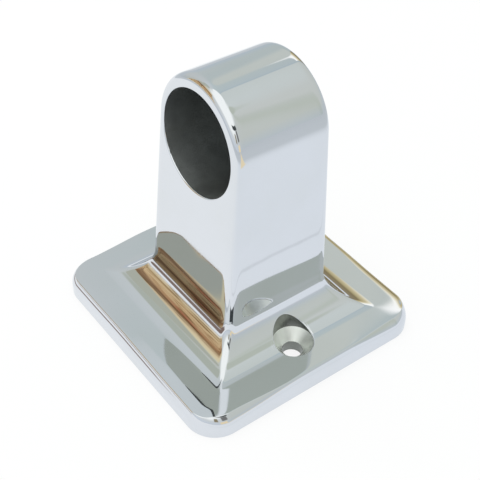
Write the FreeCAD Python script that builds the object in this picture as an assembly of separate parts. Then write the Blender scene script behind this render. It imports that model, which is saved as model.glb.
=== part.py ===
import FreeCAD, Part
import math
import os

from FreeCAD import Vector

# A rail end stanchion for a boat deck: one casting in polished stainless steel.
# A square base sweeps up into a tapered upright with a round crown, and a blind
# socket for the end of a rail tube opens in the upright's front face.
# Millimetres and degrees. Z is up, the underside is at z = 0, the origin is the
# middle of the underside, and the socket opens towards -Y.

# Base
base_width = 67.4
base_depth = 67.4
base_corner_radius = 7.9
rim_height = 5.9
rim_edge_radius = 2.0
underside_edge_radius = 0.4

# The top rises a little from the rim to the sweep.
top_rise = 0.24

# Hollow sweep from the top of the base into the faces of the upright
sweep_radius = 10.0
sweep_corner_radius = 3.0
sweep_levels = 10

# Upright, measured where its faces, carried straight down, reach the rim's height
foot_width = 33.6
foot_depth = 32.0
upright_edge_radius = 1.8
face_draft = 2.75

# Crown, a half round across the top of the upright
crown_radius = 15.2
crown_centre_height = 59.0

# Socket for the rail tube
rail_diameter = 25.4
rail_clearance = 0.4
socket_below_crown = 1.0
socket_depth = 22.5
socket_mouth_radius = 0.4

# Countersunk screw holes, one each side of the upright. They stand this share of
# the way from the upright's foot to the side of the base.
screw_share = 0.37
screw_hole_diameter = 5.2
screw_land = 3.0
screw_head_diameter = 10.2
screw_head_angle = 82.0
screw_rim_radius = 0.3

# How far the cutting shapes run past the metal
overrun = 5.0


def corner_arcs(width, depth, radius, height):
    """The four rounded corners of a level rectangle, anticlockwise from the +X, +Y corner."""
    arcs = []
    for index, (side_x, side_y) in enumerate([(1, 1), (-1, 1), (-1, -1), (1, -1)]):
        centre = Vector(side_x * (width / 2 - radius), side_y * (depth / 2 - radius), height)
        points = []
        for angle in (90 * index, 90 * index + 45, 90 * index + 90):
            turn = math.radians(angle)
            points.append(centre + Vector(radius * math.cos(turn), radius * math.sin(turn), 0))
        arcs.append(Part.Arc(*points))
    return arcs


def rounded_rectangle(width, depth, radius, height):
    """The closed outline of four rounded corners and the straight sides between them."""
    arcs = corner_arcs(width, depth, radius, height)
    edges = []
    for index in range(4):
        edges.append(arcs[index].toShape())
        side = Part.LineSegment(arcs[index].EndPoint, arcs[(index + 1) % 4].StartPoint)
        edges.append(side.toShape())
    return Part.Wire(edges)


def cylinder(radius, start, direction, length):
    return Part.makeCylinder(radius, length, start, direction)


def side_lean():
    """How far the sides of the upright lean in for each millimetre of height."""
    drop = crown_centre_height - rim_height
    to_foot = math.atan2(-drop, foot_width / 2)
    reach = math.hypot(foot_width / 2, drop)
    return math.tan(to_foot + math.acos(crown_radius / reach))


def face_lean():
    return math.tan(math.radians(face_draft))


def face_y(height):
    """Distance of the front and back faces from the middle at a height."""
    return foot_depth / 2 - (height - rim_height) * face_lean()


class Sweep:
    """The hollow round between the gently rising top of the base and one face of the upright."""

    def __init__(self, rim, foot, lean):
        self.rim = rim
        self.foot = foot
        self.lean = lean
        self.low_z = rim_height + top_rise
        # The round is tangent to the face, and to the top at the height where it starts.
        # The top's slope depends on where that is, so the two are settled in turns.
        slope = 0
        for _ in range(8):
            self.centre_z = self.low_z + sweep_radius * math.cos(slope)
            self.centre_x = self.on_face(self.centre_z) + sweep_radius * math.hypot(1, lean)
            low_x = self.centre_x - sweep_radius * math.sin(slope)
            slope = math.atan2(top_rise, rim - low_x)
        self.high_z = self.centre_z - sweep_radius * math.sin(math.atan(lean))

    def on_face(self, height):
        return self.foot - self.lean * (height - rim_height)

    def distance(self, height):
        """Distance of the surface from the middle, at a height from the start of the round up."""
        if height >= self.high_z:
            return self.on_face(height)
        drop = self.centre_z - height
        return self.centre_x - math.sqrt(sweep_radius ** 2 - drop ** 2)


def make_base():
    """The rim, and the top that falls from the sweep to it."""
    floor = rounded_rectangle(base_width, base_depth, base_corner_radius, 0)
    rim = Part.Face(floor).extrude(Vector(0, 0, rim_height))
    eaves = rounded_rectangle(base_width, base_depth, base_corner_radius, rim_height)
    top = Part.makeLoft([eaves, sweep_outline(rim_height + top_rise)], True, True)
    return rim.fuse(top)


def sweep_end():
    return max(side_sweep.high_z, face_sweep.high_z)


def sweep_outline(height):
    """Level outline of the sweep, whose corners tighten towards the upright."""
    low_z = rim_height + top_rise
    rise = (height - low_z) / (sweep_end() - low_z)
    radius = upright_edge_radius + (sweep_corner_radius - upright_edge_radius) * (1 - rise) ** 2
    width = 2 * side_sweep.distance(height)
    depth = 2 * face_sweep.distance(height)
    return rounded_rectangle(width, depth, radius, height)


def make_sweep(top_outline):
    """The body of the sweep, from the top of the base to the foot of the upright."""
    low_z = rim_height + top_rise
    outlines = []
    for index in range(sweep_levels):
        # Levels crowd towards the bottom, where the sweep is nearly flat.
        turn = math.pi / 2 * index / sweep_levels
        height = low_z + (sweep_end() - low_z) * (1 - math.cos(turn))
        outlines.append(sweep_outline(height))
    outlines.append(top_outline)
    return Part.makeLoft(outlines, True, False)


def make_upright():
    """The tapered upright from the sweep to the crown, with its long edges rounded."""
    # Front outline: each side leans in and runs tangent into the crown.
    lean = side_lean()
    tangent_angle = math.atan(lean)
    side_x = crown_radius * math.cos(tangent_angle)
    side_z = crown_centre_height + crown_radius * math.sin(tangent_angle)
    low_z = sweep_end()
    low_x = side_sweep.distance(low_z)
    crown_z = crown_centre_height + crown_radius

    far_y = base_depth / 2
    right_low = Vector(low_x, -far_y, low_z)
    right_high = Vector(side_x, -far_y, side_z)
    top = Vector(0, -far_y, crown_z)
    left_high = Vector(-side_x, -far_y, side_z)
    left_low = Vector(-low_x, -far_y, low_z)
    front_outline = Part.Wire([
        Part.LineSegment(right_low, right_high).toShape(),
        Part.Arc(right_high, top, left_high).toShape(),
        Part.LineSegment(left_high, left_low).toShape(),
        Part.LineSegment(left_low, right_low).toShape(),
    ])
    front_prism = Part.Face(front_outline).extrude(Vector(0, 2 * far_y, 0))

    # Side outline: the front and back faces lean in by the draft.
    high_z = crown_z + overrun
    far_x = base_width / 2
    low_y = face_sweep.distance(low_z)
    high_y = face_y(high_z)
    side_outline = Part.makePolygon([
        Vector(-far_x, -low_y, low_z),
        Vector(-far_x, -high_y, high_z),
        Vector(-far_x, high_y, high_z),
        Vector(-far_x, low_y, low_z),
        Vector(-far_x, -low_y, low_z),
    ])
    side_prism = Part.Face(side_outline).extrude(Vector(2 * far_x, 0, 0))
    body = front_prism.common(side_prism)

    long_edges = []
    for edge in body.Edges:
        box = edge.BoundBox
        on_end_face = box.YMin > 0 or box.YMax < 0
        at_foot = box.ZMax < low_z + 0.1
        if on_end_face and not at_foot:
            long_edges.append(edge)
    return body.makeFillet(upright_edge_radius, long_edges)


def foot_outline(upright):
    """The outline of the upright's lower end, in the order of the other level outlines."""
    for face in upright.Faces:
        if level(face, sweep_end()):
            return Part.Wire(sorted(face.OuterWire.Edges, key=place_around))


def place_around(edge):
    """Angle of an edge's middle about Z, counted from just past +X."""
    middle = edge.BoundBox.Center
    return (math.atan2(middle.y, middle.x) - 0.01) % (2 * math.pi)


def round_rim(body):
    """The polished edges round the top and the bottom of the rim."""
    rim_edges = [e for e in body.Edges if level(e, rim_height)]
    body = body.makeFillet(rim_edge_radius, rim_edges)
    bottom_edges = [e for e in body.Edges if level(e, 0)]
    return body.makeFillet(underside_edge_radius, bottom_edges)


def level(shape, height):
    box = shape.BoundBox
    return abs(box.ZMin - height) < 0.01 and abs(box.ZMax - height) < 0.01


def cut_socket(body):
    """The blind socket, with its mouth edge eased."""
    socket_height = crown_centre_height - socket_below_crown
    mouth_y = -face_y(socket_height)
    radius = (rail_diameter + rail_clearance) / 2
    start = Vector(0, mouth_y - overrun, socket_height)
    body = body.cut(cylinder(radius, start, Vector(0, 1, 0), socket_depth + overrun))
    lean = radius * math.tan(math.radians(face_draft))
    mouth_edges = []
    for edge in body.Edges:
        box = edge.BoundBox
        near_mouth = abs(box.Center.y - mouth_y) < lean + 0.1
        round_edge = abs(box.XLength - 2 * radius) < 0.1 and abs(box.ZLength - 2 * radius) < 0.1
        if near_mouth and round_edge:
            mouth_edges.append(edge)
    return body.makeFillet(socket_mouth_radius, mouth_edges)


def screw_hole(x):
    """Through hole, countersink and the straight counterbore above it, as one cutter."""
    hole_radius = screw_hole_diameter / 2
    head_radius = screw_head_diameter / 2
    cone_height = (head_radius - hole_radius) / math.tan(math.radians(screw_head_angle / 2))
    cone_top = screw_land + cone_height
    up = Vector(0, 0, 1)
    hole = cylinder(hole_radius, Vector(x, 0, -overrun), up, overrun + screw_land + cone_height / 2)
    cone = Part.makeCone(hole_radius, head_radius, cone_height, Vector(x, 0, screw_land), up)
    head = cylinder(head_radius, Vector(x, 0, cone_top), up, overrun + sweep_radius)
    return hole.fuse([cone, head]).removeSplitter()


def cut_screw_holes(body):
    """Both screw holes, with the rim of each counterbore eased."""
    screw_x = (foot_width + screw_share * (base_width - foot_width)) / 2
    for x in (-screw_x, screw_x):
        body = body.cut(screw_hole(x))
        body = ease_counterbore(body, x)
    return body


def ease_counterbore(body, x):
    head_radius = screw_head_diameter / 2
    rim_edges = []
    for edge in body.Edges:
        box = edge.BoundBox
        above = box.ZMin > screw_land + head_radius - screw_hole_diameter / 2
        radii = [math.hypot(p.x - x, p.y) for p in edge.discretize(5)]
        on_wall = max(abs(r - head_radius) for r in radii) < 0.05
        if above and on_wall and box.ZLength > 0.01:
            rim_edges.append(edge)
    return body.makeFillet(screw_rim_radius, rim_edges)


def make_stanchion():
    upright = make_upright()
    sweep = make_sweep(foot_outline(upright))
    body = make_base().fuse([sweep, upright]).removeSplitter()
    body = round_rim(body)
    body = cut_socket(body)
    return cut_screw_holes(body)


side_sweep = Sweep(base_width / 2, foot_width / 2, side_lean())
face_sweep = Sweep(base_depth / 2, foot_depth / 2, face_lean())
stanchion = make_stanchion()
os.makedirs("parts", exist_ok=True)
stanchion.exportStep("parts/stanchion.step")

box = stanchion.BoundBox
print("solids", len(stanchion.Solids), "valid", stanchion.isValid())
print("size", round(box.XLength, 2), round(box.YLength, 2), round(box.ZLength, 2))
print("volume", round(stanchion.Volume / 1000, 2), "cubic centimetres")
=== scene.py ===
import math

import bmesh
import bpy
from bpy.props import FloatProperty, FloatVectorProperty, PointerProperty
from mathutils import Matrix, Vector
from mathutils.bvhtree import BVHTree
from mathutils.geometry import barycentric_transform


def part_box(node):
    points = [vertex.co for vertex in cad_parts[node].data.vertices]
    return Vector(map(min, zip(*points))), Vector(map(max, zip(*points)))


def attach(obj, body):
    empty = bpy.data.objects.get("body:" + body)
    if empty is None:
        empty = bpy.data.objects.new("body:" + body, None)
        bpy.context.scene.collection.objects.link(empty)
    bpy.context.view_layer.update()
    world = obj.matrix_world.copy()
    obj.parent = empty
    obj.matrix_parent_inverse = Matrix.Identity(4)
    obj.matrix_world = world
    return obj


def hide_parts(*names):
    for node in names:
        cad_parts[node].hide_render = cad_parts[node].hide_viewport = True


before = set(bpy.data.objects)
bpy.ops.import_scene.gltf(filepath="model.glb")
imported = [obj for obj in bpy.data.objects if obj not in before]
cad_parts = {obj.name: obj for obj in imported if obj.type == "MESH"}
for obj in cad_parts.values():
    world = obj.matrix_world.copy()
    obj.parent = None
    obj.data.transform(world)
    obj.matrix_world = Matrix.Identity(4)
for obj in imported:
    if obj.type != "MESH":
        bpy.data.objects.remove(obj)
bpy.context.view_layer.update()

bl_info = {
    "name": "Rail end stanchion",
    "version": (1, 0, 0),
    "blender": (4, 5, 0),
    "location": "3D View > Sidebar > Stanchion",
    "description": "A polished cast rail end stanchion on a pale studio floor",
    "category": "Object",
}

# Metres and radians, in the frame of the CAD: Z is up, the underside is at z = 0
# and the socket opens towards -Y.
MM = 0.001


def length(name, description, default_mm):
    """A size property in metres, from its default in millimetres."""
    return FloatProperty(name=name, description=description, default=default_mm * MM,
                         precision=5, unit="LENGTH")


def degrees(name, description, default):
    """An angle property in radians, from its default in degrees."""
    return FloatProperty(name=name, description=description, subtype="ANGLE",
                         default=math.radians(default))


def fraction(name, description, default, most=1):
    """A property from 0 to 1, or to less than 1."""
    return FloatProperty(name=name, description=description, default=default, min=0, max=most)


def colour(name, description, default):
    return FloatVectorProperty(name=name, description=description, default=default,
                               subtype="COLOR", min=0, max=2)


class CastingSizes(bpy.types.PropertyGroup):
    """Sizes of the cast stanchion."""

    base_half: length("Half base", "From the middle to a side of the base",
                      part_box("stanchion")[1].x / MM)
    base_corner: length("Base corner", "Plan radius of the base's corners", 7.9)
    rim_height: length("Rim height", "Height of the base's straight rim", 5.9)
    rim_belly: length("Rim belly", "Radius by which the rim leans in towards its edge", 5.5)
    rim_edge: length("Rim edge", "Radius of the polished edge round the top", 0.3)
    rim_drop: length("Rim drop", "Wear of the strip along the rim, in front on the right", 0.2)
    corner_drop: length("Corner drop", "How much more it is worn towards the corners", 0.15)
    far_drop: length("Far drop", "Wear of the strip along the rim, on the far side", 0.27)
    far_corner_drop: length("Far corner drop", "How much more it is worn towards the corner", 0.02)
    middle_rise: length("Middle rise", "How far the middles of the sides stand up", 0.193)
    underside_edge: length("Underside edge", "Radius of the edge on the floor", 0.4)
    top_rise: length("Top rise", "Rise of the top from the rim to the sweep", 0.24)
    sweep_radius: length("Sweep", "Radius of the hollow sweep", 10.0)
    sweep_corner: length("Sweep corner", "Plan reach of the corner where the sweep starts", 1.4)
    foot_half_x: length("Half foot, sides", "Foot of the sides at rim height", 16.8)
    foot_half_y: length("Half foot, faces", "Foot of the faces at rim height", 16.0)
    upright_edge: length("Upright edge", "Reach of the rounded long edges", 3.0)
    crown_radius: length("Crown", "Radius of the round crown", 15.2)
    crown_height: length("Crown centre", "Height of the crown's centre", 59.0)
    socket_radius: length("Socket", "Radius of the rail socket", 12.9)
    socket_height: length("Socket height", "Height of the socket's axis", 58.0)
    socket_bottom: length("Socket bottom", "Where the blind socket ends, along Y", 9.003)
    socket_edge: length("Socket edge", "Radius of the socket's mouth edge", 0.4)
    screw_x: length("Screw place", "From the middle to a screw hole", 23.053)
    screw_hole: length("Screw hole", "Radius of the screw's hole", 2.6)
    screw_head: length("Screw head", "Radius of the counterbore", 5.1)
    screw_land: length("Screw land", "Metal below the countersink", 3.0)
    screw_edge: length("Counterbore edge", "Radius of the counterbore's edge", 0.3)
    face_draft: degrees("Draft", "Lean of the front and back faces", 2.75)
    screw_angle: degrees("Countersink", "Full angle of the countersink", 82)
    rim_lean: degrees("Rim lean", "Lean of the belly at the rim's edge", 32)
    corner_lean: degrees("Corner lean", "How much more the belly leans beside the corners", 16)
    rim_tilt: degrees("Rim fall", "Slope of the top beside the rim's edge", 4.3)
    corner_softness: fraction("Soft onset", "0 for round corners, more for ones that start gently "
                              "and are tight in the middle", 0.38, most=0.6)


class SteelFinish(bpy.types.PropertyGroup):
    """Colour and polish of the steel."""

    polished: colour("Polished", "Colour of the polished steel", (0.74, 0.76, 0.80))
    clouded: colour("Clouds", "Slightly duller places in the polish", (0.725, 0.745, 0.775))
    # Painted shade: the colour painted on the foot of the front face, where it meets the sweep.
    foot: colour("Foot", "Darker polish at the foot of the front face", (0.36, 0.37, 0.37))
    # Painted light and shade: the countersinks are painted lighter and the screw holes' straight
    # walls darker than the same bare steel; the socket's dull cast wall is painted darker too, for
    # the shade inside it.
    satin: colour("Satin", "Bare steel of the countersinks", (0.97, 1.0, 0.97))
    socket: colour("Socket", "Dull cast wall of the socket", (0.39, 0.41, 0.41))
    hole: colour("Hole walls", "Straight walls of the screw holes", (0.26, 0.27, 0.25))
    gloss: fraction("Polish", "Roughness of the polished skin", 0.035)
    dull: fraction("Countersinks", "Roughness of the countersinks", 0.42)
    cast: fraction("Socket wall", "Roughness of the socket's wall", 0.5)
    bored: fraction("Bored walls", "Roughness of the screw holes' straight walls", 0.25)


class StudioLook(bpy.types.PropertyGroup):
    """Floor, light and camera of the studio."""

    floor: colour("Floor", "Colour of the studio floor", (0.92, 0.93, 0.95))
    floor_size: FloatProperty(name="Floor size", description="Width of the floor",
                              default=12, unit="LENGTH")
    lamp_power: FloatProperty(name="Lamp", description="Power of the soft overhead lamp",
                              default=2.6, unit="POWER")
    lens: FloatProperty(name="Lens", description="Focal length on a 36 mm wide sensor",
                        default=74.706, unit="CAMERA")
    azimuth: degrees("Azimuth", "Camera's place round the object", 51.736)
    elevation: degrees("Elevation", "Camera's height over the horizon", 40.443)
    roll: degrees("Roll", "Turn of the camera about its view", 2.194)
    distance: length("Distance", "From the camera to the point it was aimed by", 245.393)
    aim_height: length("Aim height", "Height of that point on the Z axis", 30.0)


class Wire:
    """An output socket in a node tree. Arithmetic on it adds Math nodes."""

    def __init__(self, tree, socket=None):
        self.tree = tree
        self.socket = socket

    def node(self, kind, settings=None, sockets=None, output=0):
        """Add a node: its settings first, then the values or links of its sockets."""
        node = self.tree.nodes.new(kind)
        for name, value in (settings or {}).items():
            if name == "stops":
                set_stops(node.color_ramp, value)
            else:
                setattr(node, name, value)
        for name, value in (sockets or {}).items():
            if isinstance(value, Wire):
                self.tree.links.new(value.socket, node.inputs[name])
            else:
                node.inputs[name].default_value = value
        return Wire(self.tree, node.outputs[output] if node.outputs else None)

    def math(self, operation, *terms, clamp=False):
        """A Math node on these values or wires."""
        settings = {"operation": operation, "use_clamp": clamp}
        return self.node("ShaderNodeMath", settings, dict(enumerate(terms)))

    def __add__(self, other):
        return self.math("ADD", self, other)

    def __radd__(self, other):
        return self.math("ADD", other, self)

    def __sub__(self, other):
        return self.math("SUBTRACT", self, other)

    def __rsub__(self, other):
        return self.math("SUBTRACT", other, self)

    def __mul__(self, other):
        return self.math("MULTIPLY", self, other)

    def __rmul__(self, other):
        return self.math("MULTIPLY", other, self)

    def __truediv__(self, other):
        return self.math("DIVIDE", self, other)

    def __rtruediv__(self, other):
        return self.math("DIVIDE", other, self)

    def __pow__(self, other):
        return self.math("POWER", self, other)

    def sin(self):
        return self.math("SINE", self)

    def cos(self):
        return self.math("COSINE", self)

    def magnitude(self):
        return self.math("ABSOLUTE", self)

    def rounded(self):
        return self.math("ROUND", self)

    def root(self):
        return self.math("SQRT", self)

    def clamped(self):
        return self.math("ADD", self, 0.0, clamp=True)

    def steps(self, low, high):
        """From 0 at low to 1 at high, with soft ends."""
        return self.node("ShaderNodeMapRange", {"interpolation_type": "SMOOTHSTEP"},
                         {"Value": self, "From Min": low, "From Max": high})


def axes(start, vector):
    """The x, y and z of a vector."""
    split = start.node("ShaderNodeSeparateXYZ", None, {0: vector}).socket.node
    return [Wire(start.tree, output) for output in split.outputs]


def set_stops(band, stops):
    """Give a colour ramp its stops, each a place and a colour."""
    while len(band.elements) > 1:
        band.elements.remove(band.elements[0])
    band.elements[0].position = stops[0][0]
    band.elements[0].color = stops[0][1] + (1,)
    for place, shade in stops[1:]:
        band.elements.new(place).color = shade + (1,)


# The shape of the skin

# Rows of faces in each zone of the skin, from the underside up
ROWS = {"under": 4, "wall": 3, "belly": 10, "edge": 10, "top": 30, "sweep": 48, "face": 58,
        "crown": 50}
# Columns of faces over a quarter: half a side, the corner, half a face
COLUMNS = {"side": 26, "corner": 20, "face": 26}

# Points of the skin nearer than this are one point.
MERGE_REACH = 0.001 * MM

# The belly leans more beside a corner: shares of the side's and the corner's columns over
# which this comes and goes.
LEAN_ALONG_SIDE = (0.3, 1.0)
LEAN_ROUND_CORNER = (0.95, 0.1)

# Hand polishing, in distances in from the side of the base: where the raised middles and the
# worn strip start, and how much farther out they are complete
RAISED_FROM = 7.6 * MM
RAISED_RUN = 6.4 * MM
RAISED_POWER = 1.5
WORN_FROM = 3.3 * MM
WORN_RUN = 2.1 * MM
# Along a side, in distances from its middle: where the rise goes and where the corner's
# extra wear comes
RISE_GOES = (17 * MM, 5 * MM)
CORNER_COMES = (2 * MM, 16 * MM)
# The two worn stretches end softly at the base's diagonals and near the middle of X.
AT_DIAGONAL = (-1 * MM, 3 * MM)
FRONT_START = (-3 * MM, 5 * MM)
FAR_START = (-8 * MM, -1 * MM)

# Sizes that the skin's tree takes as they are
TAKEN = ("base_half", "base_corner", "underside_edge", "rim_belly", "rim_lean", "rim_edge",
         "rim_drop", "corner_drop", "far_drop", "far_corner_drop", "middle_rise", "corner_lean",
         "corner_softness", "sweep_radius", "sweep_corner", "upright_edge", "crown_radius",
         "crown_height")


def side_lean(sizes):
    """How far the sides lean in per unit of height, to run tangent into the crown."""
    drop = sizes.crown_height - sizes.rim_height
    to_foot = math.atan2(-drop, sizes.foot_half_x)
    return math.tan(to_foot + math.acos(sizes.crown_radius / math.hypot(sizes.foot_half_x, drop)))


def settle_sweep(sizes, foot, lean):
    """The tree's inputs for the sweep below one face, and the slope at which it starts."""
    # The top's slope depends on where the sweep starts, so the two are settled in turns.
    slope = 0
    low_z = sizes.rim_height + sizes.top_rise
    for _ in range(8):
        centre_z = low_z + sizes.sweep_radius * math.cos(slope)
        centre_x = foot - lean * (centre_z - sizes.rim_height)
        centre_x += sizes.sweep_radius * math.hypot(1, lean)
        low_x = centre_x - sizes.sweep_radius * math.sin(slope)
        slope = math.atan2(sizes.top_rise, sizes.base_half - low_x)
    high_z = centre_z - sizes.sweep_radius * math.sin(math.atan(lean))
    return {"Sweep Centre": centre_x, "Sweep Centre Height": centre_z, "Sweep Start": low_x,
            "Tangent Height": high_z, "Lean": lean}, slope


def skin_inputs(sizes):
    """The named inputs of the skin's tree, from the casting's sizes."""
    inputs = {name.replace("_", " ").title(): getattr(sizes, name) for name in TAKEN}
    side, slope = settle_sweep(sizes, sizes.foot_half_x, side_lean(sizes))
    face, _ = settle_sweep(sizes, sizes.foot_half_y, math.tan(sizes.face_draft))
    for name, sweep in (("Side", side), ("Face", face)):
        for part, value in sweep.items():
            inputs[f"{name} {part}"] = value
    edge_end = sizes.rim_belly * (1 - math.cos(sizes.rim_lean))
    edge_end += sizes.rim_edge * (math.cos(sizes.rim_lean) - math.sin(sizes.rim_tilt))
    top_end = sizes.base_half - side["Sweep Start"]
    # The top's slope is a constant and a part that dies away from the rim.
    near_rim, far_in = 1 / edge_end ** 2, 1 / top_end ** 2
    bulge = (math.tan(sizes.rim_tilt) - math.tan(slope)) / (near_rim - far_in)
    fall = math.tan(sizes.rim_tilt) - bulge * near_rim
    edge_z = sizes.rim_height + sizes.top_rise - fall * (top_end - edge_end)
    edge_z -= bulge * (1 / edge_end - 1 / top_end)
    inputs.update({
        "Rim Edge Turn": math.pi / 2 - sizes.rim_tilt, "Rim Edge Height": edge_z,
        "Top Start": edge_end, "Top End": top_end, "Top Fall": fall, "Top Bulge": bulge,
        "Sweep Start Height": sizes.rim_height + sizes.top_rise,
        "Sweep End Height": max(side["Tangent Height"], face["Tangent Height"]),
        "Crown Start": math.atan(side["Lean"]),
    })
    return inputs


def skin_tree(inputs, material):
    """A node tree that lays a grid over a quarter of the casting and mirrors it twice."""
    tree = bpy.data.node_groups.new("polished_skin", "GeometryNodeTree")
    for name in inputs:
        tree.interface.new_socket(name, in_out="INPUT", socket_type="NodeSocketFloat")
    tree.interface.new_socket("Geometry", in_out="OUTPUT", socket_type="NodeSocketGeometry")
    start = Wire(tree)
    group = tree.nodes.new("NodeGroupInput")
    size = {name: Wire(tree, group.outputs[name]) for name in inputs}

    rows, columns = sum(ROWS.values()), sum(COLUMNS.values())
    grid = start.node("GeometryNodeMeshGrid", None, {
        "Size X": columns, "Size Y": rows, "Vertices X": columns + 1, "Vertices Y": rows + 1})
    column, row, _ = axes(start, start.node("GeometryNodeInputPosition"))
    across = (column + columns / 2).rounded()
    up = (row + rows / 2).rounded()
    x, y, z, strip = skin_point(size, across, up)
    point = start.node("ShaderNodeCombineXYZ", None, {0: x, 1: y, 2: z})
    kept = start.node("GeometryNodeStoreNamedAttribute", None,
                      {"Geometry": grid, "Name": "strip", "Value": strip})
    quarter = start.node("GeometryNodeSetPosition", None, {"Geometry": kept, "Position": point})
    half = mirrored(start, quarter, (-1, 1, 1))
    whole = mirrored(start, half, (1, -1, 1))
    merged = start.node("GeometryNodeMergeByDistance", None,
                        {"Geometry": whole, "Distance": MERGE_REACH})
    worn = wear_rim(start, merged, size)
    smooth = start.node("GeometryNodeSetShadeSmooth", None, {"Geometry": worn})
    real = start.node("GeometryNodeRealizeInstances", None, {"Geometry": smooth})
    shown = start.node("GeometryNodeSetMaterial", None, {"Geometry": real, "Material": material})
    start.node("NodeGroupOutput", None, {"Geometry": shown})
    return tree


def mirrored(start, shape, scale):
    """The shape joined with its mirror image."""
    image = start.node("GeometryNodeTransform", None, {"Geometry": shape, "Scale": scale})
    flipped = start.node("GeometryNodeFlipFaces", None, {"Mesh": image})
    join = start.node("GeometryNodeJoinGeometry", None, {"Geometry": shape})
    start.tree.links.new(flipped.socket, join.socket.node.inputs["Geometry"])
    return join


def wear_rim(start, shape, size):
    """Wear down the strip along the rim, on the right in front and on the far side."""
    x, y, _ = axes(start, start.node("GeometryNodeInputPosition"))
    strip = start.node("GeometryNodeInputNamedAttribute", None, {"Name": "strip"})
    corner = x.math("MINIMUM", x.magnitude(), y.magnitude()).steps(*CORNER_COMES)
    front = strip * (size["Rim Drop"] + size["Corner Drop"] * corner)
    front = front * (y * -1 - x).steps(*AT_DIAGONAL) * x.steps(*FRONT_START)
    far = strip ** 3 * (size["Far Drop"] + size["Far Corner Drop"] * corner)
    far = far * (y - x).steps(*AT_DIAGONAL) * x.steps(*FAR_START)
    offset = start.node("ShaderNodeCombineXYZ", None, {2: (front + far) * -1})
    lowered = start.node("GeometryNodeSetPosition", None, {"Geometry": shape, "Offset": offset})
    return start.node("GeometryNodeRemoveAttribute", None, {"Geometry": lowered, "Name": "strip"})


def zone_shares(wire, counts):
    """For each zone, from 0 at its start to 1 at its end, and held outside it."""
    shares = {}
    start = 0
    for name, count in counts.items():
        shares[name] = ((wire - start) / count).clamped()
        start += count
    return shares


def skin_point(size, across, up):
    """The place of a grid point, and from 0 to 1 how far it lies in the rim's worn strip.

    Each zone adds its own run to the outline below it.
    """
    column = zone_shares(across, COLUMNS)
    row = zone_shares(up, ROWS)
    corner = column["corner"] * (math.pi / 2)
    bend = 1 - size["Corner Softness"] * row["top"]
    out_x = corner.cos().clamped() ** bend
    out_y = corner.sin().clamped() ** bend
    beside = column["side"].steps(*LEAN_ALONG_SIDE) * column["corner"].steps(*LEAN_ROUND_CORNER)

    # Underside edge, wall, belly and edge of the rim
    under = row["under"] * (math.pi / 2)
    radius = size["Base Corner"] - size["Underside Edge"] * (1 - under.sin())
    z = size["Underside Edge"] * (1 - under.cos())
    belly, edge = size["Rim Belly"], size["Rim Edge"]
    lean = size["Rim Lean"] + size["Corner Lean"] * beside
    edge_turn = size["Rim Edge Turn"]
    wall_end = size["Rim Edge Height"] - belly * lean.sin()
    wall_end = wall_end - edge * (edge_turn.sin() - lean.sin())
    z = z + row["wall"] * (wall_end - size["Underside Edge"])
    turn = row["belly"] * lean
    radius = radius - belly * (1 - turn.cos())
    z = z + belly * turn.sin()
    turn = lean + row["edge"] * (edge_turn - lean)
    radius = radius - edge * (lean.cos() - turn.cos())
    z = z + edge * (turn.sin() - lean.sin())
    rim_centre = size["Base Half"] - size["Base Corner"]

    # Top, which steepens a little towards the rim
    share = row["top"]
    edge_radius = size["Base Corner"] - belly * (1 - lean.cos())
    edge_radius = edge_radius - edge * (lean.cos() - edge_turn.cos())
    radius = radius + share * (size["Sweep Corner"] - edge_radius)
    centre_x = rim_centre + share * (size["Side Sweep Start"] - size["Sweep Corner"] - rim_centre)
    centre_y = rim_centre + share * (size["Face Sweep Start"] - size["Sweep Corner"] - rim_centre)
    run = share * (size["Top End"] - size["Top Start"])
    z = z + size["Top Fall"] * run
    z = z + size["Top Bulge"] * (1 / size["Top Start"] - 1 / (size["Top Start"] + run))

    # Sweep, by levels that crowd towards its start
    rise = 1 - (row["sweep"] * (math.pi / 2)).cos()
    climb = rise * (size["Sweep End Height"] - size["Sweep Start Height"])
    level = size["Sweep Start Height"] + climb
    z = z + climb
    shrink = (size["Sweep Corner"] - size["Upright Edge"]) * (1 - (1 - rise) ** 2)
    radius = radius - shrink
    centre_x = centre_x + shrink + sweep_run(size, "Side", level)
    centre_y = centre_y + shrink + sweep_run(size, "Face", level)

    # Upright, whose rounded edges follow the crown from its start
    crown_start = size["Crown Start"]
    ball = size["Crown Radius"] - size["Upright Edge"] * (1 - out_x)
    climb = row["face"] * (size["Crown Height"] + ball * crown_start.sin()
                           - size["Sweep End Height"])
    z = z + climb
    centre_x = centre_x - size["Side Lean"] * climb
    centre_y = centre_y - size["Face Lean"] * climb

    # Crown
    turn = crown_start + row["crown"] * (math.pi / 2 - crown_start)
    climb = ball * (turn.sin() - crown_start.sin())
    z = z + climb
    centre_y = centre_y - size["Face Lean"] * climb
    narrow = turn.cos() / crown_start.cos()

    x = (centre_x * (1 - column["face"]) + radius * out_x) * narrow
    y = centre_y * column["side"] + radius * out_y

    # Hand polishing, which leaves the middles of the sides raised
    inset = size["Top Start"] + run
    middle = x.math("MINIMUM", x, y).steps(*RISE_GOES)
    raised = ((RAISED_FROM - inset) / RAISED_RUN).clamped() ** RAISED_POWER
    z = z + size["Middle Rise"] * middle * raised * row["wall"]
    strip = ((WORN_FROM - inset) / WORN_RUN).clamped()
    return x, y, z, strip * row["wall"]


def sweep_run(size, face, level):
    """How far the sweep has drawn the outline in, at a level."""
    tangent = size[face + " Tangent Height"]
    on_round = level.math("MINIMUM", level, tangent)
    drop = size[face + " Sweep Centre Height"] - on_round
    reach = (size["Sweep Radius"] ** 2 - drop ** 2).root()
    distance = size[face + " Sweep Centre"] - reach
    return distance - size[face + " Lean"] * (level - on_round) - size[face + " Sweep Start"]


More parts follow.
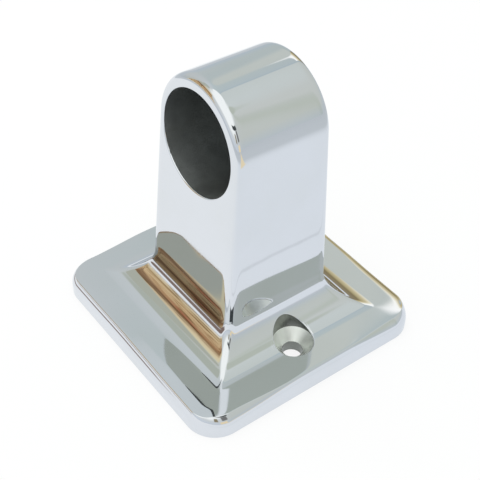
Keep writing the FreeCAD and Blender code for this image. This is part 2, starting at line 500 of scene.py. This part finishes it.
def make_skin(sizes, material):
    """The closed outer skin as a plain mesh, before the holes are opened."""
    inputs = skin_inputs(sizes)
    tree = skin_tree(inputs, material)
    maker = bpy.data.objects.new("skin_maker", bpy.data.meshes.new("skin_maker"))
    bpy.context.scene.collection.objects.link(maker)
    modifier = maker.modifiers.new("Skin", "NODES")
    modifier.node_group = tree
    for item in tree.interface.items_tree:
        if item.in_out == "INPUT":
            modifier[item.identifier] = inputs[item.name]
    bpy.context.view_layer.update()
    evaluated = maker.evaluated_get(bpy.context.evaluated_depsgraph_get())
    mesh = bpy.data.meshes.new_from_object(evaluated)
    bpy.data.objects.remove(maker)
    return mesh


# Openings

# Farther from the casting than any of its points
OUTSIDE = 0.2
# Points round the socket and round a screw hole, and rings over an eased edge
SOCKET_POINTS = 144
SCREW_POINTS = 96
EDGE_STEPS = 5
# How far past the eased edge the skin is opened, and how far its border may lie beyond that
SOCKET_MARGIN = 0.04 * MM
SCREW_MARGIN = 0.12 * MM
BORDER_REACH = 3 * MM
# Rings on the socket's flat bottom, as shares of its radius
BOTTOM_RINGS = (0.66, 0.33)
# Directions closer than this, in radians, are one direction.
NO_ANGLE = 1e-4
# Places of the casting's materials in its list
POLISHED, SOCKET_WALL, COUNTERSINK, HOLE_WALL = range(4)


class Skin:
    """The uncut skin, asked for its place and its normal along a line."""

    def __init__(self, mesh):
        self.places = [v.co.copy() for v in mesh.vertices]
        self.normals = [Vector(n.vector) for n in mesh.vertex_normals]
        mesh.calc_loop_triangles()
        self.faces = [tuple(t.vertices) for t in mesh.loop_triangles]
        self.tree = BVHTree.FromPolygons(self.places, self.faces)

    def hit(self, point, outwards):
        """Where a line from outside, against outwards, meets the skin, and the normal there."""
        far = point + outwards * OUTSIDE
        place, _, index, _ = self.tree.ray_cast(far, -outwards)
        corners = [self.places[c] for c in self.faces[index]]
        normals = [self.normals[c] for c in self.faces[index]]
        return place, barycentric_transform(place, *corners, *normals).normalized()


class Opening:
    """A round hole in the skin: its axis out of the metal, its radius and its edge's radius."""

    def __init__(self, centre, outwards, radius, edge, points):
        self.centre = centre
        self.outwards = outwards
        self.radius = radius
        self.edge = edge
        self.across = outwards.orthogonal().normalized()
        self.along = outwards.cross(self.across)
        self.turns = [2 * math.pi * k / points for k in range(points)]

    def away(self, turn):
        return self.across * math.cos(turn) + self.along * math.sin(turn)

    def distance(self, point):
        offset = point - self.centre
        return (offset - self.outwards * offset.dot(self.outwards)).length


def arc_between(first, second, share):
    """A direction part of the way from one unit vector to another."""
    angle = first.angle(second)
    if angle < NO_ANGLE:
        return first.copy()
    a = math.sin((1 - share) * angle) / math.sin(angle)
    b = math.sin(share * angle) / math.sin(angle)
    return first * a + second * b


def edge_rings(skin, opening, steps):
    """Points and normals of the eased edge, from the skin to the straight wall."""
    rings = [[] for _ in range(steps + 1)]
    for turn in opening.turns:
        away = opening.away(turn)
        place, normal = skin.hit(opening.centre + away * opening.radius, opening.outwards)
        setback = opening.edge * math.tan(normal.angle(-away) / 2)
        outward = (away - normal * away.dot(normal)).normalized()
        reach = opening.radius + setback * outward.dot(away)
        start, start_normal = skin.hit(opening.centre + away * reach, opening.outwards)
        centre = start - start_normal * opening.edge
        end = centre - away * opening.edge
        shift = opening.centre + away * opening.radius - end
        shift -= opening.outwards * shift.dot(opening.outwards)
        for step in range(steps + 1):
            share = step / steps
            bent = arc_between(start_normal, -away, share)
            rings[step].append((centre + bent * opening.edge + shift * share, bent))
    return rings


def cut_opening(bm, layer, skin, opening, margin):
    """Open the skin round a hole and join it to the hole's eased edge."""
    limit = opening.radius + opening.edge + margin
    doomed = []
    for face in bm.faces:
        if face.normal.dot(opening.outwards) > 0:
            if min(opening.distance(v.co) for v in face.verts) < limit:
                doomed.append(face)
    bmesh.ops.delete(bm, geom=doomed, context="FACES")
    border = [e for e in bm.edges if e.is_boundary and near(opening, e, limit)]
    rings = []
    for ring in edge_rings(skin, opening, EDGE_STEPS):
        rings.append([bm.verts.new(place) for place, _ in ring])
        for vert, (_, normal) in zip(rings[-1], ring):
            vert[layer] = normal
    first = rings[0]
    edges = [bm.edges.new((first[k], first[k - 1])) for k in range(len(first))]
    fill(bm, border + edges, opening.outwards, smooth=True)
    join_rings(bm, rings, POLISHED)
    return rings[-1]


def fill(bm, edges, normal, smooth):
    """Triangles between these edges."""
    filled = bmesh.ops.triangle_fill(bm, use_beauty=True, use_dissolve=False, edges=edges,
                                     normal=normal)
    for item in filled["geom"]:
        if isinstance(item, bmesh.types.BMFace):
            item.smooth = smooth
            item.material_index = POLISHED


def near(opening, edge, limit):
    """Whether a border edge belongs to this opening."""
    middle = (edge.verts[0].co + edge.verts[1].co) / 2
    facing = (middle - opening.centre).dot(opening.outwards) > 0
    return facing and opening.distance(middle) < limit + BORDER_REACH


def join_rings(bm, rings, material):
    """Faces between rings of vertices, one after another."""
    for ring, following in zip(rings, rings[1:]):
        for k in range(len(ring)):
            face = bm.faces.new((ring[k - 1], ring[k], following[k], following[k - 1]))
            face.smooth = True
            face.material_index = material


def new_ring(bm, opening, radius, depth):
    """A plain ring of a hole, at a depth along its axis from the opening's centre."""
    middle = opening.centre - opening.outwards * depth
    return [bm.verts.new(middle + opening.away(turn) * radius) for turn in opening.turns]


def mark_sharp(bm, ring):
    for k in range(len(ring)):
        bm.edges.get((ring[k], ring[k - 1])).smooth = False


def make_socket(bm, layer, skin, sizes):
    """The blind socket for the rail tube."""
    radius, depth = sizes.socket_radius, sizes.socket_bottom
    centre = Vector((0, 0, sizes.socket_height))
    opening = Opening(centre, Vector((0, -1, 0)), radius, sizes.socket_edge, SOCKET_POINTS)
    mouth = cut_opening(bm, layer, skin, opening, SOCKET_MARGIN)
    inner = new_ring(bm, opening, radius, 0)
    bottom = new_ring(bm, opening, radius, depth)
    floor = [new_ring(bm, opening, radius * share, depth) for share in BOTTOM_RINGS]
    join_rings(bm, [mouth, inner, bottom] + floor, SOCKET_WALL)
    cap = bm.faces.new(floor[-1])
    cap.material_index = SOCKET_WALL
    mark_sharp(bm, bottom)


def make_screw_hole(bm, layer, skin, sizes, side):
    """Counterbore, countersink and through hole for a deck screw."""
    wide, narrow, low = sizes.screw_head, sizes.screw_hole, sizes.screw_land
    high = low + (wide - narrow) / math.tan(sizes.screw_angle / 2)
    centre = Vector((side * sizes.screw_x, 0, 0))
    opening = Opening(centre, Vector((0, 0, 1)), wide, sizes.screw_edge, SCREW_POINTS)
    mouth = cut_opening(bm, layer, skin, opening, SCREW_MARGIN)
    head = new_ring(bm, opening, wide, -high)
    middle = new_ring(bm, opening, (wide + narrow) / 2, -(high + low) / 2)
    land = new_ring(bm, opening, narrow, -low)
    foot = new_ring(bm, opening, narrow, 0)
    join_rings(bm, [mouth, head], HOLE_WALL)
    join_rings(bm, [head, middle, land], COUNTERSINK)
    join_rings(bm, [land, foot], HOLE_WALL)
    for ring in (head, land, foot):
        mark_sharp(bm, ring)


def close_underside(bm):
    """The flat underside, round both screw holes."""
    fill(bm, [e for e in bm.edges if e.is_boundary], Vector((0, 0, -1)), smooth=False)


def keep_skin_normals(mesh):
    """Give the skin's faces the exact normals of the uncut skin, and drop the layer."""
    layer = mesh.attributes["skin_normal"]
    stored = [Vector(item.vector) for item in layer.data]
    mesh.attributes.remove(layer)
    normals = []
    for face in mesh.polygons:
        plain = face.material_index != POLISHED or not face.use_smooth
        normals += [Vector() if plain else stored[vertex] for vertex in face.vertices]
    mesh.normals_split_custom_set(normals)


# Finishes

# The painted shade at the foot of the upright's front face: its soft upper and lower borders,
# the face's side of the sweep and the rounded edge on the right
FOOT_SHADE_TOP = (18.2 * MM, 16.2 * MM)
FOOT_SHADE_LOW = (12.5 * MM, 13.1 * MM)
FOOT_SHADE_FACE = (-14 * MM, -14.8 * MM)
FOOT_SHADE_RIGHT = (14.6 * MM, 13.2 * MM)
# Depths of the relief in the cast wall of the socket and in the turned screw holes
CAST_RELIEF = 0.1 * MM
TURNED_RELIEF = 0.05 * MM
# How marks are squeezed along the axes, to run along the socket and in rings round a hole
ALONG_SOCKET = (1, 0.1, 1)
ROUND_HOLE = (1, 1, 6)


def new_material(name):
    """An empty node material and a wire to start from."""
    material = bpy.data.materials.new(name)
    material.use_nodes = True
    material.node_tree.nodes.clear()
    return material, Wire(material.node_tree)


def end_material(start, shader):
    start.node("ShaderNodeOutputMaterial", None, {"Surface": shader})


def object_place(start):
    """Object coordinates."""
    return start.node("ShaderNodeTexCoord", output="Object")


def noise(start, place, scale, detail=2.0, roughness=0.5, stretch=(1, 1, 1)):
    """Noise with features of about 1 / scale metres, stretched along an axis."""
    mapped = start.node("ShaderNodeMapping", None, {"Vector": place, "Scale": stretch})
    return start.node("ShaderNodeTexNoise", None, {
        "Vector": mapped, "Scale": scale, "Detail": detail, "Roughness": roughness})


def blend(start, factor, first, second):
    """A colour part of the way from the first to the second."""
    first, second = [end if isinstance(end, Wire) else tuple(end) + (1,)
                     for end in (first, second)]
    return start.node("ShaderNodeMix", {"data_type": "RGBA"}, {0: factor, 6: first, 7: second},
                      output=2)


def ramp(start, factor, stops):
    """Colour by a factor from 0 to 1."""
    return start.node("ShaderNodeValToRGB", {"stops": stops}, {"Fac": factor})


def multiply(start, first, second):
    """The product of two colours."""
    return start.node("ShaderNodeMix", {"data_type": "RGBA", "blend_type": "MULTIPLY"},
                      {0: 1.0, 6: first, 7: second}, output=2)


def metal(start, tint, rough, relief, strength, depth):
    """A bare metal, with a relief of this depth."""
    bump = start.node("ShaderNodeBump", None, {
        "Strength": strength, "Distance": depth, "Height": relief})
    return start.node("ShaderNodeBsdfPrincipled", None, {
        "Base Color": tint, "Metallic": 1.0, "Roughness": rough, "Normal": bump})


def polished_steel(finish):
    """Mirror polished steel: faint buffing waves, hairlines and duller breaths of polish."""
    material, start = new_material("polished_steel")
    place = object_place(start)
    clouds = noise(start, place, scale=55, detail=3, roughness=0.55)
    hairs = noise(start, place, scale=900, roughness=0.6, stretch=(0.06, 1, 0.6))
    grain = noise(start, place, scale=4200, roughness=0.6)
    waves = noise(start, place, scale=60, detail=1.5, roughness=0.4)
    tint = blend(start, clouds.steps(0.35, 0.75), finish.polished, finish.clouded)
    # Painted shade: the foot of the front face, where it meets the sweep, is painted darker.
    x, y, z = axes(start, place)
    foot = z.steps(*FOOT_SHADE_TOP) * z.steps(*FOOT_SHADE_LOW) * y.steps(*FOOT_SHADE_FACE) * x.steps(*FOOT_SHADE_RIGHT)
    tint = blend(start, foot, tint, finish.foot)
    rough = finish.gloss + 0.03 * clouds.steps(0.45, 0.8) + 0.02 * hairs.steps(0.55, 0.75)
    relief = waves * 0.6 + hairs * 0.012 + grain * 0.004
    end_material(start, metal(start, tint, rough, relief, strength=0.05, depth=MM))
    return material


def satin_steel(name, shade, roughness, stretch, depth):
    """Satin bare steel with turning marks or a cast grain."""
    material, start = new_material(name)
    place = object_place(start)
    grain = noise(start, place, scale=2600, detail=3, roughness=0.6)
    marks = noise(start, place, scale=1500, stretch=stretch)
    clouds = noise(start, place, scale=160)
    darker = tuple(0.82 * part for part in shade)
    tint = blend(start, clouds.steps(0.35, 0.7), shade, darker)
    rough = roughness + 0.12 * (grain - 0.5) + 0.08 * (marks - 0.5)
    relief = grain * 0.5 + marks * 0.5
    end_material(start, metal(start, tint, rough, relief, strength=0.35, depth=depth))
    return material


# Studio

# The studio's walls by azimuth, from -180 to 180 degrees as 0 to 1
WALLS = [
    (0.0, (0.66, 0.69, 0.64)), (0.0495, (0.65, 0.68, 0.63)), (0.0525, (0.42, 0.50, 0.53)),
    (0.058, (0.52, 0.58, 0.575)), (0.10, (0.55, 0.61, 0.585)), (0.155, (0.56, 0.62, 0.60)),
    (0.19, (0.625, 0.66, 0.645)), (0.27, (0.64, 0.67, 0.65)), (0.34, (0.60, 0.62, 0.56)),
    (0.40, (0.66, 0.68, 0.64)), (0.5, (0.8, 0.83, 0.82)), (0.72, (0.74, 0.77, 0.76)),
    (0.80, (0.66, 0.69, 0.65)), (0.845, (0.66, 0.69, 0.635)), (0.857, (0.60, 0.64, 0.56)),
    (0.866, (0.62, 0.655, 0.59)), (0.875, (0.675, 0.70, 0.65)), (0.93, (0.67, 0.70, 0.655)),
    (1.0, (0.66, 0.69, 0.64)),
]
# How the walls' colour changes from the horizon to the zenith
RISE = [(0.0, (0.92, 0.96, 1.06)), (0.17, (1.0, 1.0, 1.0)), (0.5, (1.03, 1.03, 1.04)),
        (0.64, (1.08, 1.10, 1.13)), (1.0, (1.0, 1.03, 1.05))]
# Warm wood of the bench beside the table, and of the post behind, from the horizon up
BENCH = [
    (0.0, (0.98, 0.88, 0.70)), (0.07, (0.80, 0.66, 0.44)), (0.155, (0.60, 0.45, 0.24)),
    (0.22, (0.66, 0.48, 0.26)), (0.33, (0.72, 0.52, 0.29)), (0.44, (0.66, 0.45, 0.24)),
    (0.53, (0.56, 0.36, 0.19)), (0.60, (0.46, 0.25, 0.12)), (0.65, (0.30, 0.17, 0.08)),
    (0.70, (0.44, 0.30, 0.16)), (0.76, (0.70, 0.54, 0.33)), (0.84, (0.84, 0.70, 0.45)),
    (0.93, (0.82, 0.75, 0.50)), (1.0, (0.74, 0.72, 0.58)),
]
POST = [(0.0, (0.33, 0.28, 0.19)), (0.36, (0.30, 0.24, 0.13)), (0.48, (0.54, 0.46, 0.25)),
        (0.66, (0.74, 0.64, 0.40)), (0.84, (1.08, 1.02, 0.82)), (0.90, (1.22, 1.20, 1.10)),
        (1.0, (1.26, 1.25, 1.20))]
# Elevation at which both of these end
WOOD_TOP = 45
# The streaks in the bench's wood, and the elevations over which they fade out
GRAIN = [(0.32, (0.30, 0.27, 0.24)), (0.42, (0.60, 0.52, 0.45)), (0.50, (1.0, 1.0, 1.0)),
         (0.62, (1.12, 1.17, 1.25)), (0.70, (0.62, 0.52, 0.42)), (0.76, (1.1, 1.1, 1.1))]
GRAIN_FADES = (37, 33)

# Upright panels, in degrees: azimuth of the middle, half the width, elevations of the lower
# and the upper edge, softness. Some have a strength and a colour as well.
BENCH_PLACE = (-42, 18, -5, 44, 4)
POST_PLACE = (-151, 8, -5, 47, 2.5)
RED_STRIP = ((-39.6, 0.8, 23, 28, 2), 0.7, (0.48, 0.17, 0.10))
PANELS = [
    ((-57, 9, 32, 48, 2), 1, (0.515, 0.53, 0.44)),
    ((-136.5, 6.5, 26, 52, 6), 1, (0.665, 0.70, 0.645)),
    ((-45.1, 3.2, 18, 31, 2), 0.55, (0.20, 0.13, 0.08)),
    ((80, 22, 33.5, 41, 2), 1, (0.07, 0.08, 0.08)),
    ((91, 7, 15, 33, 3), 1, (0.22, 0.22, 0.21)),
    ((67, 6, 12, 27, 3), 1, (0.32, 0.27, 0.17)),
    ((86, 9, -8, 10, 3), 1, (0.98, 0.82, 0.54)),
]
# Round patches, in degrees: azimuth and elevation of the middle, and the angles from it over
# which the patch fades. The first two are one bright soft box overhead.
SOFT_BOX = [(40, 60, 30, 48), (0, 90, 17, 21)]
SOFT_BOX_COLOUR = (1.15, 1.17, 1.13)
PATCHES = [((-67, 55, 6.5, 9), (0.517, 0.552, 0.477)), ((136, 56, 5, 8), (0.583, 0.625, 0.542))]

# The white paper as the steel mirrors it, with painted shade: it grows darker and bluer along X +
# Y.
# It ends some way from a point in front on the left.
PAPER_SHADE_RUN = (-60 * MM, 90 * MM)
WHITE_PAPER, SHADED_PAPER = (0.97, 0.99, 1.0), (0.865, 0.905, 0.95)
PAPER_CENTRE = (-100 * MM, -80 * MM)
PAPER_ENDS = (235 * MM, 340 * MM)
BEYOND_PAPER = (0.60, 0.64, 0.67)
# A painted shadow line on the paper: its place along X, how far it wanders and its soft half width
SHADOW_LINE_X = 46.2 * MM
SHADOW_LINE_WANDER = 3 * MM
SHADOW_LINE_WIDTH = (0.9 * MM, 0.2 * MM)
SHADOW_LINE_STRENGTH = 0.3
SHADOW_LINE_COLOUR = (0.4, 0.42, 0.45)
# A painted reflection of the bench: a brown sheen on the paper beside it, over ranges of X, Y and
# flatness, which is 0 for paper looked at from above and 1 for paper looked at along its surface
SHEEN_COLOUR = (0.12, 0.03, 0.0)
SHEEN_COMES, SHEEN_GOES = (0.60, 0.66), (0.935, 0.895)
SHEEN_RIGHT, SHEEN_LEFT = (15 * MM, 0), (-110 * MM, -90 * MM)
SHEEN_FRONT = (-110 * MM, -95 * MM)
# Its rear border comes forward as the look grows flatter, and is left out where it isn't flat.
REAR_Y, REAR_FLATNESS, REAR_SLANT = -48.5 * MM, 0.691, 109 * MM
REAR_SOFT = (1 * MM, -2 * MM)
REAR_OPEN = (0.735, 0.70)
# A wooden board on the floor on the right, over these ranges of X and Y
BOARD_COLOUR = (0.98, 0.80, 0.48)
BOARD_LEFT, BOARD_FRONT, BOARD_REAR = (115 * MM, 135 * MM), (-30 * MM, -10 * MM), (58 * MM, 45 * MM)
# Share of the floor's own glow in what the camera and the mirror see of it
FLOOR_GLOW = 0.84

LAMP_WIDTH = 0.8
LAMP_PLACE = (-0.25, -0.1, 0.8)
# The picture's shift as shares of its width, the sensor's millimetres and the nearest metres
CAMERA_SHIFT = (-0.00038, -0.04628)
SENSOR_WIDTH = 36
CAMERA_CLIP = 0.01


def direction(azimuth, elevation):
    """Unit vector: azimuth 0 is towards -Y and a quarter turn is towards +X, in radians."""
    flat = math.cos(elevation)
    return Vector((math.sin(azimuth) * flat, -math.cos(azimuth) * flat, math.sin(elevation)))


def disc(start, view, azimuth, elevation, inner, outer):
    """Mask of a soft round patch, from its middle out to two angles in degrees."""
    middle = direction(math.radians(azimuth), math.radians(elevation))
    facing = start.node("ShaderNodeVectorMath", {"operation": "DOT_PRODUCT"},
                        {0: view, 1: tuple(middle)}, output="Value")
    return facing.steps(math.cos(math.radians(outer)), math.cos(math.radians(inner)))


def panel(azimuth, elevation, middle, half_width, low, high, soft):
    """Mask of an upright panel in the studio, in degrees round and up."""
    sides = (azimuth - middle).magnitude().steps(half_width + soft / 2, half_width - soft / 2)
    foot = elevation.steps(low - soft / 2, low + soft / 2)
    top = elevation.steps(high + soft / 2, high - soft / 2)
    return sides * foot * top


def light_path(start):
    """Whether a ray comes from the camera, off a mirror or through the object, each 0 or 1."""
    path = start.node("ShaderNodeLightPath").socket.node
    return [Wire(start.tree, path.outputs[f"Is {kind} Ray"])
            for kind in ("Camera", "Glossy", "Transmission")]


def make_world():
    """Soft light from a pale studio. Looked at directly, it is a white backdrop."""
    world = bpy.data.worlds.new("studio")
    bpy.context.scene.world = world
    world.use_nodes = True
    world.node_tree.nodes.clear()
    start = Wire(world.node_tree)
    view = start.node("ShaderNodeTexCoord", output="Generated")
    x, y, z = axes(start, view)
    azimuth = x.math("ARCTAN2", x, y * -1) * (180 / math.pi)
    elevation = z.math("ARCSINE", z) * (180 / math.pi)

    walls = ramp(start, azimuth / 360 + 0.5, WALLS)
    studio = multiply(start, walls, ramp(start, elevation / 90, RISE))
    box = start.math("MAXIMUM", *(disc(start, view, *place) for place in SOFT_BOX))
    studio = blend(start, box, studio, SOFT_BOX_COLOUR)
    for place, wood in ((BENCH_PLACE, bench_wood(start, azimuth, elevation)),
                        (POST_PLACE, ramp(start, elevation / WOOD_TOP, POST))):
        studio = blend(start, panel(azimuth, elevation, *place), studio, wood)
    for place, strength, shade in PANELS:
        studio = blend(start, panel(azimuth, elevation, *place) * strength, studio, shade)
    for place, shade in PATCHES:
        studio = blend(start, disc(start, view, *place), studio, shade)

    seen, _, through = light_path(start)
    final = blend(start, seen.math("MAXIMUM", seen, through), studio, (1, 1, 1))
    shader = start.node("ShaderNodeBackground", None, {"Color": final, "Strength": 1.0})
    start.node("ShaderNodeOutputWorld", None, {"Surface": shader})


def bench_wood(start, azimuth, elevation):
    """The bench's warm wood with its streaks and a narrow red strip."""
    place = start.node("ShaderNodeCombineXYZ", None, {
        0: azimuth * 0.55 + elevation * 0.12, 1: elevation * 0.3})
    streaks = start.node("ShaderNodeTexNoise", None, {
        "Vector": place, "Scale": 1.0, "Detail": 3.0, "Roughness": 0.6, "Distortion": 0.6})
    grain = blend(start, elevation.steps(*GRAIN_FADES), (1, 1, 1), ramp(start, streaks, GRAIN))
    wood = multiply(start, ramp(start, elevation / WOOD_TOP, BENCH), grain)
    place, strength, shade = RED_STRIP
    return blend(start, panel(azimuth, elevation, *place) * strength, wood, shade)


def mirrored_floor(start, place):
    """The floor's colour in the steel's mirror: white paper, painted darker and bluer along X + Y,
    with a painted shadow line and a painted reflection of the bench, that ends before the walls.
    """
    x, y, _ = axes(start, place)
    # Painted shade: the paper darkens and turns bluer along X + Y.
    paper = blend(start, (x + y).steps(*PAPER_SHADE_RUN), WHITE_PAPER, SHADED_PAPER)
    # Painted shadow: a thin, faint dark line that wanders along the paper.
    wander = noise(start, place, scale=70) * SHADOW_LINE_WANDER
    shadow_line = (x + wander - SHADOW_LINE_X).magnitude().steps(*SHADOW_LINE_WIDTH)
    paper = blend(start, shadow_line * SHADOW_LINE_STRENGTH, paper, SHADOW_LINE_COLOUR)
    flat = start.node("ShaderNodeLayerWeight", None, {"Blend": 0.5}, output="Facing")
    behind = y - REAR_Y + (flat - REAR_FLATNESS) * REAR_SLANT
    inside = start.math("MAXIMUM", behind.steps(*REAR_SOFT), flat.steps(*REAR_OPEN))
    # Painted reflection of the bench, where the paper is looked at along its surface.
    sheen = flat.steps(*SHEEN_COMES) * flat.steps(*SHEEN_GOES) * inside
    sheen = sheen * x.steps(*SHEEN_RIGHT) * y.steps(*SHEEN_FRONT) * x.steps(*SHEEN_LEFT)
    paper = blend(start, sheen, paper, SHEEN_COLOUR)
    away = ((x - PAPER_CENTRE[0]) ** 2 + (y - PAPER_CENTRE[1]) ** 2).root()
    shown = blend(start, away.steps(*PAPER_ENDS), paper, BEYOND_PAPER)
    board = x.steps(*BOARD_LEFT) * y.steps(*BOARD_FRONT) * y.steps(*BOARD_REAR)
    return blend(start, board, shown, BOARD_COLOUR)


def make_floor(look):
    """The plain pale floor. It lights as paint does and is white where nothing shades it."""
    half = look.floor_size / 2
    mesh = bpy.data.meshes.new("studio_floor")
    mesh.from_pydata([(-half, -half, 0), (half, -half, 0), (half, half, 0), (-half, half, 0)],
                     [], [(0, 1, 2, 3)])
    floor = bpy.data.objects.new("studio_floor", mesh)
    bpy.context.scene.collection.objects.link(floor)
    material, start = new_material("studio_floor")
    seen, glossy, through = light_path(start)
    shown = blend(start, glossy, (1, 1, 1), mirrored_floor(start, object_place(start)))
    paint = start.node("ShaderNodeBsdfDiffuse", None, {"Color": tuple(look.floor) + (1,)})
    glow = start.node("ShaderNodeEmission", None, {"Color": shown, "Strength": 1.0})
    share = (seen + glossy + through).clamped() * FLOOR_GLOW
    end_material(start, start.node("ShaderNodeMixShader", None, {0: share, 1: paint, 2: glow}))
    mesh.materials.append(material)


def make_lamp(look):
    """A wide soft lamp overhead, which the steel doesn't mirror."""
    light = bpy.data.lights.new("soft_lamp", "AREA")
    light.energy = look.lamp_power
    light.size = LAMP_WIDTH
    lamp = bpy.data.objects.new("soft_lamp", light)
    lamp.location = LAMP_PLACE
    lamp.rotation_euler = (-lamp.location).to_track_quat("-Z", "Y").to_euler()
    lamp.visible_glossy = False
    bpy.context.scene.collection.objects.link(lamp)


def make_camera(look):
    """The camera at the photograph's place, with its small roll and shift."""
    back = direction(look.azimuth, look.elevation)
    level = Vector((math.cos(look.azimuth), math.sin(look.azimuth), 0))
    upright = back.cross(level)
    right = level * math.cos(look.roll) + upright * math.sin(look.roll)
    up = upright * math.cos(look.roll) - level * math.sin(look.roll)
    data = bpy.data.cameras.new("studio_camera")
    data.lens = look.lens
    data.sensor_width = SENSOR_WIDTH
    data.clip_start = CAMERA_CLIP
    data.shift_x, data.shift_y = CAMERA_SHIFT
    camera = bpy.data.objects.new("studio_camera", data)
    turn = Matrix((right, up, back)).transposed().to_4x4()
    place = Vector((0, 0, look.aim_height)) + back * look.distance
    camera.matrix_world = Matrix.Translation(place) @ turn
    bpy.context.scene.collection.objects.link(camera)
    bpy.context.scene.camera = camera


# Add-on

class STANCHION_OT_casting(bpy.types.Operator):
    """Make the polished casting with its socket and its screw holes"""

    bl_idname = "stanchion.casting"
    bl_label = "Casting"

    def execute(self, context):
        sizes = context.scene.stanchion_sizes
        finish = context.scene.stanchion_finish
        steel = polished_steel(finish)
        mesh = make_skin(sizes, steel)
        mesh.materials.clear()
        mesh.materials.append(steel)
        # The countersinks carry painted light; the walls of the socket and the screw holes carry
        # painted shade.
        for name, shade, roughness, stretch, depth in (
                ("socket_wall", finish.socket, finish.cast, ALONG_SOCKET, CAST_RELIEF),
                ("countersink", finish.satin, finish.dull, ROUND_HOLE, TURNED_RELIEF),
                ("hole_wall", finish.hole, finish.bored, ROUND_HOLE, TURNED_RELIEF)):
            mesh.materials.append(satin_steel(name, shade, roughness, stretch, depth))
        skin = Skin(mesh)
        bm = bmesh.new()
        bm.from_mesh(mesh)
        for face in bm.faces:
            face.material_index = POLISHED
        layer = bm.verts.layers.float_vector.new("skin_normal")
        for vert, normal in zip(bm.verts, skin.normals):
            vert[layer] = normal
        make_socket(bm, layer, skin, sizes)
        for side in (-1, 1):
            make_screw_hole(bm, layer, skin, sizes, side)
        close_underside(bm)
        bmesh.ops.recalc_face_normals(bm, faces=bm.faces[:])
        open_edges = [e for e in bm.edges if not e.is_manifold]
        if open_edges:
            raise RuntimeError(f"the casting has {len(open_edges)} open edges")
        bm.to_mesh(mesh)
        bm.free()
        keep_skin_normals(mesh)
        mesh.name = "polished_casting"
        casting = bpy.data.objects.new("polished_casting", mesh)
        context.scene.collection.objects.link(casting)
        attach(casting, "root")
        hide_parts("stanchion")
        return {"FINISHED"}


class STANCHION_OT_studio(bpy.types.Operator):
    """Make the pale floor, the soft light and the camera"""

    bl_idname = "stanchion.studio"
    bl_label = "Studio"

    def execute(self, context):
        look = context.scene.stanchion_look
        make_world()
        make_floor(look)
        make_lamp(look)
        make_camera(look)
        context.scene.view_settings.view_transform = "Standard"
        return {"FINISHED"}


class STANCHION_PT_panel(bpy.types.Panel):
    """Sizes, finish and studio of the stanchion"""

    bl_label = "Rail end stanchion"
    bl_idname = "STANCHION_PT_panel"
    bl_space_type = "VIEW_3D"
    bl_region_type = "UI"
    bl_category = "Stanchion"

    def draw(self, context):
        for operator, group in (("stanchion.casting", context.scene.stanchion_sizes),
                                (None, context.scene.stanchion_finish),
                                ("stanchion.studio", context.scene.stanchion_look)):
            box = self.layout.box()
            if operator:
                box.operator(operator)
            for name in group.__annotations__:
                box.prop(group, name)


GROUPS = {"stanchion_sizes": CastingSizes, "stanchion_finish": SteelFinish,
          "stanchion_look": StudioLook}
CLASSES = (*GROUPS.values(), STANCHION_OT_casting, STANCHION_OT_studio, STANCHION_PT_panel)


def register():
    for item in CLASSES:
        bpy.utils.register_class(item)
    for name, group in GROUPS.items():
        setattr(bpy.types.Scene, name, PointerProperty(type=group))


def unregister():
    for name in GROUPS:
        delattr(bpy.types.Scene, name)
    for item in reversed(CLASSES):
        bpy.utils.unregister_class(item)


def main():
    register()
    bpy.ops.stanchion.casting()
    bpy.ops.stanchion.studio()


if __name__ == "__main__":
    main()
